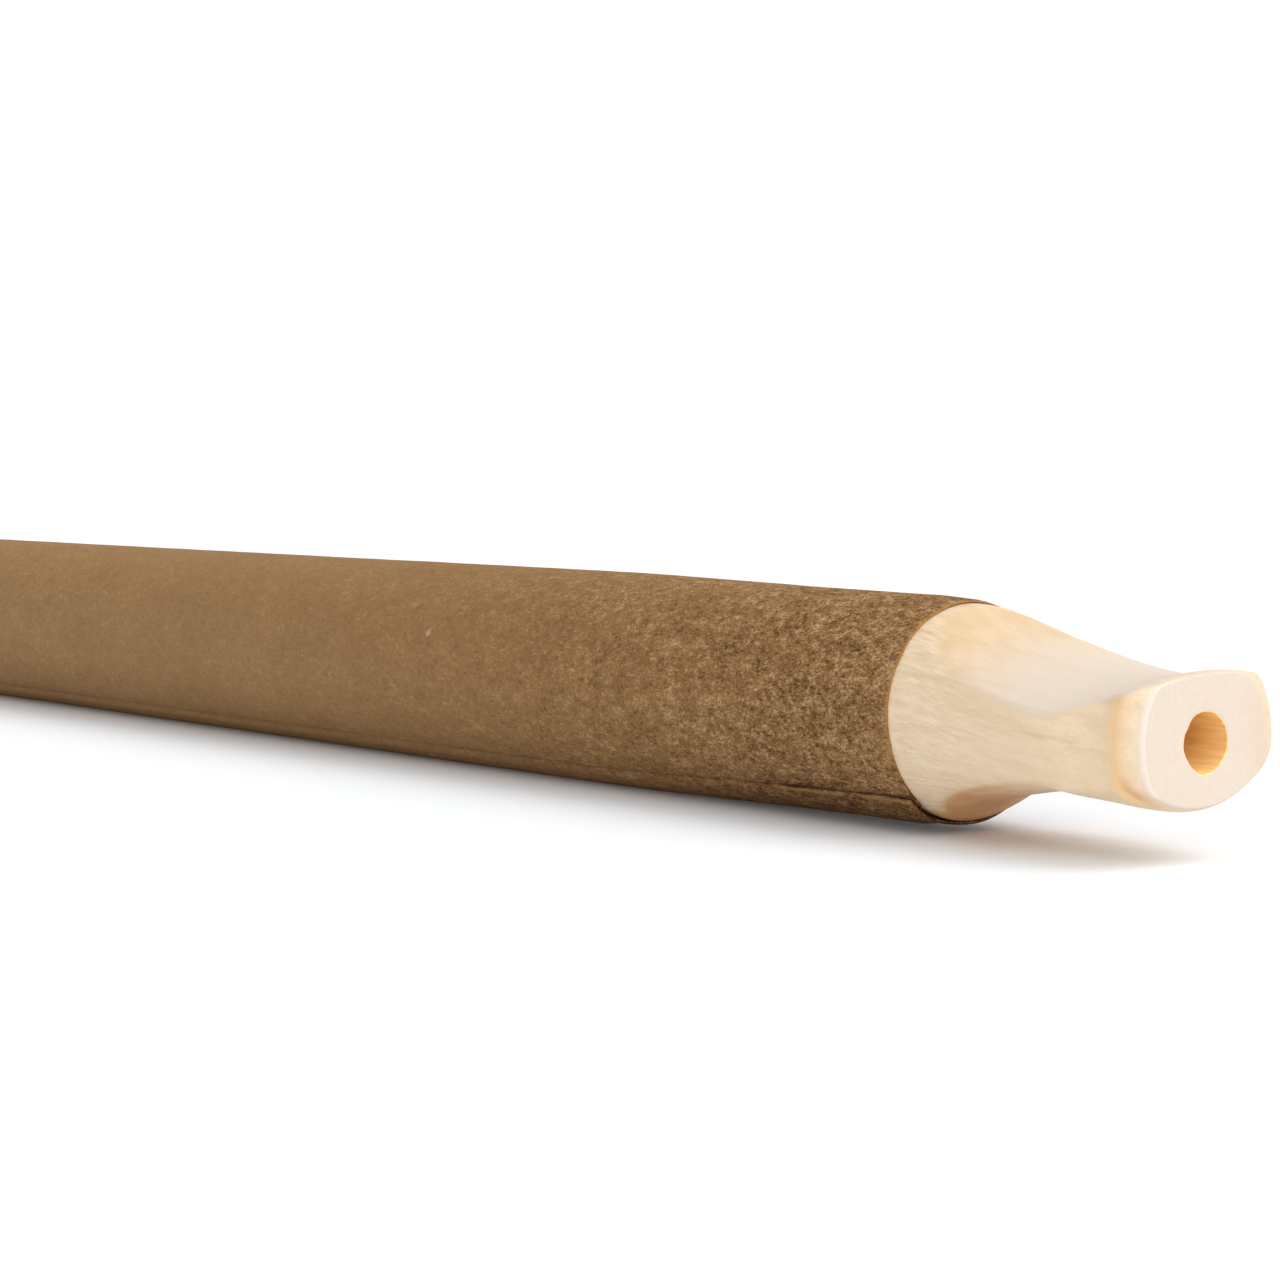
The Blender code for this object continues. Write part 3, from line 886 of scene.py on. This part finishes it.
def make_filler(paint):
    """Each long ribbon of the CAD part is shown as a bundle of finer, crumpled shreds."""
    first, last = BINDER_START + 0.3, ROD_LENGTH - 0.1
    for number, radius, middle, half_angle in filler_cells():
        rng = random.Random(900 + number)
        points, faces, shades = [], [], []
        for i in range(BUNDLE_OUTWARDS * BUNDLE_ROUND):
            layer, side = i % BUNDLE_OUTWARDS, i // BUNDLE_OUTWARDS
            out = radius + (layer - 1.5) * SHRED_SPACING + rng.uniform(-0.08, 0.08)
            aside = middle + (side - 0.5 + rng.uniform(-0.35, 0.35)) * half_angle
            reach = SHRED_REACH - rng.uniform(0.0, 0.08)
            foot = last - rng.uniform(0.0, 0.75) ** 2
            halfway = rng.uniform(0.35, 0.65) * last
            for start, end in ((first, halfway - 0.5), (halfway, foot)):
                # Each shred gets its own random tone.
                shade = rng.uniform(-0.42, 0.42)
                faces += shred_faces(len(points))
                strip = shred(rng, max(out, 0.25), aside, reach, start, end)
                points += strip
                shades += [shade] * len(strip)
        made = make_object(f"filler_shreds_{number:02d}", points, faces, [paint], sharp=40)
        mark_leaf(made.data, MOUTH_X, shade=shades)
        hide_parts(f"filler_ribbon_{number:02d}")
        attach(made, "root")


# ---- stage ----

FLOOR_HALF_SIDE = 4.0
FLOOR_COLOUR = (0.84, 0.86, 0.885, 1)
WHITE = (1, 1, 1, 1)

# The room's brightness falls from its low walls to overhead, between two heights of direction.
WALL_BRIGHTNESS, CEILING_BRIGHTNESS = 1.04, 0.54
WALL_TOP, CEILING_EDGE = 0.22, 0.6


def make_floor():
    """A plain pale floor, in metres, with a trace of its own light so that it stays white."""
    side = FLOOR_HALF_SIDE
    data = bpy.data.meshes.new("floor")
    corners = [(-side, -side, 0), (side, -side, 0), (side, side, 0), (-side, side, 0)]
    data.from_pydata(corners, [], [(0, 1, 2, 3)])
    floor = bpy.data.objects.new("floor", data)
    bpy.context.scene.collection.objects.link(floor)
    paint = bpy.data.materials.new("floor")
    paint.use_nodes = True
    shader = paint.node_tree.nodes["Principled BSDF"]
    shader.inputs["Base Color"].default_value = FLOOR_COLOUR
    shader.inputs["Roughness"].default_value = 0.9
    shader.inputs["Specular IOR Level"].default_value = 0.1
    shader.inputs["Emission Color"].default_value = WHITE
    shader.inputs["Emission Strength"].default_value = 0.03
    data.materials.append(paint)


def soft_sun(name, azimuth, elevation, spread, strength):
    """A large soft lamp far away, so that the floor is lit evenly as far as it goes."""
    data = bpy.data.lights.new(name, "SUN")
    data.angle = math.radians(spread)
    data.energy = strength
    light = bpy.data.objects.new(name, data)
    a, e = math.radians(azimuth), math.radians(elevation)
    towards = Vector((math.cos(a) * math.cos(e), math.sin(a) * math.cos(e), math.sin(e)))
    light.rotation_mode = "QUATERNION"
    light.rotation_quaternion = towards.to_track_quat("Z", "Y")
    bpy.context.scene.collection.objects.link(light)


def make_light():
    """A white room, brighter round its walls than overhead, with one top lamp and one front lamp."""
    world = bpy.data.worlds.new("studio")
    bpy.context.scene.world = world
    world.use_nodes = True
    tree = world.node_tree
    background = tree.nodes["Background"]
    background.inputs["Color"].default_value = WHITE
    direction = tree.nodes.new("ShaderNodeTexCoord").outputs["Generated"]
    apart = tree.nodes.new("ShaderNodeSeparateXYZ")
    tree.links.new(direction, apart.inputs[0])
    fall = tree.nodes.new("ShaderNodeMapRange")
    tree.links.new(apart.outputs["Z"], fall.inputs["Value"])
    fall.inputs["From Min"].default_value = WALL_TOP
    fall.inputs["From Max"].default_value = CEILING_EDGE
    fall.inputs["To Min"].default_value = WALL_BRIGHTNESS
    fall.inputs["To Max"].default_value = CEILING_BRIGHTNESS
    tree.links.new(fall.outputs["Result"], background.inputs["Strength"])
    soft_sun("top_lamp", azimuth=45, elevation=55, spread=44, strength=1.6)
    soft_sun("front_lamp", azimuth=-15, elevation=35, spread=40, strength=0.97)


# The camera looks past the wrapper's edge: its place from there, and the way it turns.
CAMERA_FROM_EDGE = (103.89, -92.76, 11.30)
CAMERA_YAW = math.radians(35.749)
CAMERA_PITCH = math.radians(3.375)
CAMERA_LENS = 89.23


def make_camera():
    """A camera that looks along the rod from in front of its mouth, on the near side."""
    data = bpy.data.cameras.new("camera")
    data.lens = CAMERA_LENS
    data.sensor_width = 36.0
    data.clip_start, data.clip_end = 0.001, 20.0
    camera = bpy.data.objects.new("camera", data)
    edge = Vector((EDGE_X, 0, AXIS_Z))
    camera.location = (edge + Vector(CAMERA_FROM_EDGE)) * MM
    ahead = Vector((
        -math.cos(CAMERA_YAW) * math.cos(CAMERA_PITCH),
        math.sin(CAMERA_YAW) * math.cos(CAMERA_PITCH),
        -math.sin(CAMERA_PITCH),
    ))
    camera.rotation_mode = "QUATERNION"
    camera.rotation_quaternion = ahead.to_track_quat("-Z", "Y")
    bpy.context.scene.collection.objects.link(camera)
    bpy.context.scene.camera = camera


make_camera()
make_light()
make_floor()
bpy.context.scene.view_settings.view_transform = "Standard"

wrapper_paint = leaf_paint("wrapper_leaf", *WRAPPER_COLOURS)
binder_paint = leaf_paint("binder_leaf", *BINDER_COLOURS)
filler_paint = leaf_paint("filler_leaf", *FILLER_COLOURS)
make_mouthpiece()
make_wrapper(wrapper_paint)
make_binder(binder_paint)
make_filler(filler_paint)
